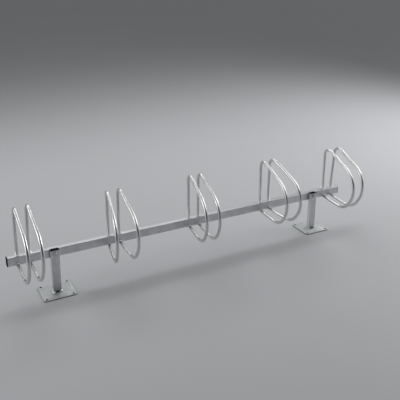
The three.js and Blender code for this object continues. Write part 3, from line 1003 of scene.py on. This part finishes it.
def add_floor(stage, colours):
    half = stage.floor_size / 2
    corners = [(-half, -half, 0), (half, -half, 0), (half, half, 0), (-half, half, 0)]
    mesh = bpy.data.meshes.new("floor")
    mesh.from_pydata(corners, [], [(0, 1, 2, 3)])
    floor = linked(mesh)
    nodes = Nodes("floor paint", metallic=0.0)
    clouds = nodes.noise(FLOOR_CLOUDS, detail=4.0)
    shade = [FLOOR_SHADE * part for part in colours.floor]
    base = nodes.mix(nodes.spread(clouds, 0, 1), colours.floor, shade)
    rough = nodes.spread(clouds, *FLOOR_ROUGHNESS)
    normal = nodes.bump(nodes.noise(FLOOR_GRAINS), FLOOR_RELIEF, FLOOR_GRAIN_DEPTH)
    mesh.materials.append(nodes.finish(base, rough, normal))


def add_lamp(name, lamp):
    data = bpy.data.lights.new(name, "AREA")
    data.shape = "RECTANGLE"
    data.size, data.size_y = lamp.width, lamp.depth
    data.energy = lamp.watts
    piece = bpy.data.objects.new(name, data)
    piece.location = lamp.place
    aim = Vector(lamp.aim) - Vector(lamp.place)
    piece.rotation_euler = aim.to_track_quat("-Z", "Y").to_euler()
    bpy.context.scene.collection.objects.link(piece)


def add_ramp(tree, value, stops):
    """A level that follows value through stops of (place, level)"""
    ramp = tree.nodes.new("ShaderNodeValToRGB")
    tree.links.new(value, ramp.inputs[0])
    while len(ramp.color_ramp.elements) < len(stops):
        ramp.color_ramp.elements.new(1)
    for element, (position, level) in zip(ramp.color_ramp.elements, stops):
        element.position = position
        element.color = (level, level, level, 1)
    return ramp.outputs[0]


def add_world():
    """A plain studio, whose walls are pale at the sides and dark behind the camera in reflections"""
    world = bpy.data.worlds.new("studio")
    world.use_nodes = True
    bpy.context.scene.world = world
    tree = world.node_tree
    parts = tree.nodes.new("ShaderNodeSeparateXYZ")
    tree.links.new(tree.nodes.new("ShaderNodeTexCoord").outputs["Generated"], parts.inputs[0])
    behind = tree.nodes.new("ShaderNodeMapRange")
    tree.links.new(parts.outputs["Y"], behind.inputs["Value"])
    behind.inputs["From Min"].default_value = -1
    walls = add_ramp(tree, behind.outputs[0], WALL_STOPS)
    ceiling = add_ramp(tree, parts.outputs["Z"], CEILING_STOPS)
    mirrored = tree.nodes.new("ShaderNodeVectorMath")
    mirrored.operation = "MULTIPLY"
    tree.links.new(walls, mirrored.inputs[0])
    tree.links.new(ceiling, mirrored.inputs[1])
    seen = tree.nodes.new("ShaderNodeMix")
    seen.data_type = "RGBA"
    glossy = tree.nodes.new("ShaderNodeLightPath").outputs["Is Glossy Ray"]
    tree.links.new(glossy, seen.inputs[MIX_FACTOR])
    seen.inputs[MIX_FIRST].default_value = (PLAIN_WALLS, PLAIN_WALLS, PLAIN_WALLS, 1)
    tree.links.new(mirrored.outputs[0], seen.inputs[MIX_SECOND])
    tree.links.new(seen.outputs[MIX_RESULT], tree.nodes["Background"].inputs["Color"])


# Operators


class PieceOperator(bpy.types.Operator):
    """What the operators share"""

    bl_options = {"REGISTER", "UNDO"}


class BIKERACK_OT_beam(PieceOperator):
    """Build the beam, a long rectangular tube"""

    bl_idname = "bikerack.beam"
    bl_label = "Beam"

    def execute(self, context):
        scene = context.scene
        finished(beam_mesh(scene.rack_tubes), "beam", beam_zinc(scene.rack_colours))
        return {"FINISHED"}


class BIKERACK_OT_caps(PieceOperator):
    """Build the black plastic caps in the beam's ends and on the posts"""

    bl_idname = "bikerack.caps"
    bl_label = "Caps"

    def execute(self, context):
        scene = context.scene
        plastic = cap_plastic(scene.rack_colours)
        for side in SIDES:
            finished(end_cap_mesh(side, scene.rack_tubes), f"end_cap_{side}", plastic)
            finished(post_cap_mesh(side, scene.rack_tubes), f"post_cap_{side}", plastic)
        return {"FINISHED"}


class BIKERACK_OT_posts(PieceOperator):
    """Build the two posts in front of the beam"""

    bl_idname = "bikerack.posts"
    bl_label = "Posts"

    def execute(self, context):
        scene = context.scene
        metal = beam_zinc(scene.rack_colours)
        for side in SIDES:
            finished(post_mesh(side, scene.rack_tubes), f"post_{side}", metal)
        return {"FINISHED"}


class BIKERACK_OT_base_plates(PieceOperator):
    """Build the base plates with their anchor holes"""

    bl_idname = "bikerack.base_plates"
    bl_label = "Base plates"

    def execute(self, context):
        scene = context.scene
        metal = plate_zinc(scene.rack_colours)
        for side in SIDES:
            mesh = base_plate_mesh(side, scene.rack_plates)
            finished(mesh, f"base_plate_{side}", metal)
        return {"FINISHED"}


class BIKERACK_OT_hoops(PieceOperator):
    """Build the bent tubes that stand in pairs along the beam"""

    bl_idname = "bikerack.hoops"
    bl_label = "Hoops"

    def execute(self, context):
        scene = context.scene
        metal = hoop_zinc(scene.rack_colours)
        for label in HOOPS:
            finished(hoop_mesh(label, scene.rack_hoops), f"hoop_{label}", metal)
        return {"FINISHED"}


class BIKERACK_OT_welds(PieceOperator):
    """Build the welds at the hoops' legs and the posts' feet"""

    bl_idname = "bikerack.welds"
    bl_label = "Welds"

    def execute(self, context):
        scene = context.scene
        hoops, sizes = scene.rack_hoops, scene.rack_welds
        metal = weld_metal(scene.rack_colours)
        for seed, label in enumerate(HOOPS):
            top = top_weld_mesh(label, hoops, sizes, seed)
            finished(top, f"top_weld_{label}", metal)
            front = front_weld_mesh(label, hoops, sizes, seed)
            finished(front, f"front_weld_{label}", metal)
        for seed, side in enumerate(SIDES):
            foot = foot_weld_mesh(side, scene.rack_tubes, sizes, seed)
            finished(foot, f"post_foot_weld_{side}", metal)
        return {"FINISHED"}


class BIKERACK_OT_fasteners(PieceOperator):
    """Build the bolts, washers and nuts that hold the beam to the posts"""

    bl_idname = "bikerack.fasteners"
    bl_label = "Fasteners"

    def execute(self, context):
        scene = context.scene
        sizes = scene.rack_fasteners
        metal = fastener_zinc(scene.rack_colours)
        for side in SIDES:
            finished(bolt_mesh(side, sizes), f"bolt_{side}", metal)
            finished(nut_mesh(side, sizes), f"nut_{side}", metal)
            for where in ("front", "rear"):
                washer = washer_mesh(where, side, sizes)
                finished(washer, f"{where}_washer_{side}", metal)
        return {"FINISHED"}


class BIKERACK_OT_stage(PieceOperator):
    """Set the camera, the floor, the lamps and the world"""

    bl_idname = "bikerack.stage"
    bl_label = "Stage"

    def execute(self, context):
        scene = context.scene
        add_camera(scene.rack_stage)
        add_floor(scene.rack_stage, scene.rack_colours)
        for name, lamp in LAMPS.items():
            add_lamp(name, lamp)
        add_world()
        scene.view_settings.view_transform = "Standard"
        return {"FINISHED"}


class BIKERACK_PT_panel(bpy.types.Panel):
    """The rack's pieces in the 3D view's sidebar"""

    bl_idname = "BIKERACK_PT_panel"
    bl_label = "Bike rack"
    bl_space_type = "VIEW_3D"
    bl_region_type = "UI"
    bl_category = "Bike rack"

    def draw(self, context):
        for operator in OPERATORS:
            self.layout.operator(operator.bl_idname)


GROUPS = {
    "rack_hoops": HoopSizes,
    "rack_tubes": TubeSizes,
    "rack_plates": PlateSizes,
    "rack_welds": WeldSizes,
    "rack_fasteners": FastenerSizes,
    "rack_colours": FinishColours,
    "rack_stage": StageSettings,
}
OPERATORS = (
    BIKERACK_OT_beam,
    BIKERACK_OT_caps,
    BIKERACK_OT_posts,
    BIKERACK_OT_base_plates,
    BIKERACK_OT_hoops,
    BIKERACK_OT_welds,
    BIKERACK_OT_fasteners,
    BIKERACK_OT_stage,
)


def register():
    for kind in (*GROUPS.values(), *OPERATORS, BIKERACK_PT_panel):
        bpy.utils.register_class(kind)
    for name, group in GROUPS.items():
        setattr(bpy.types.Scene, name, PointerProperty(type=group))


def unregister():
    for name in GROUPS:
        delattr(bpy.types.Scene, name)
    for kind in reversed((*GROUPS.values(), *OPERATORS, BIKERACK_PT_panel)):
        bpy.utils.unregister_class(kind)


def main():
    register()
    for operator in OPERATORS:
        getattr(bpy.ops.bikerack, operator.bl_idname.split(".")[1])()


if __name__ == "__main__":
    main()
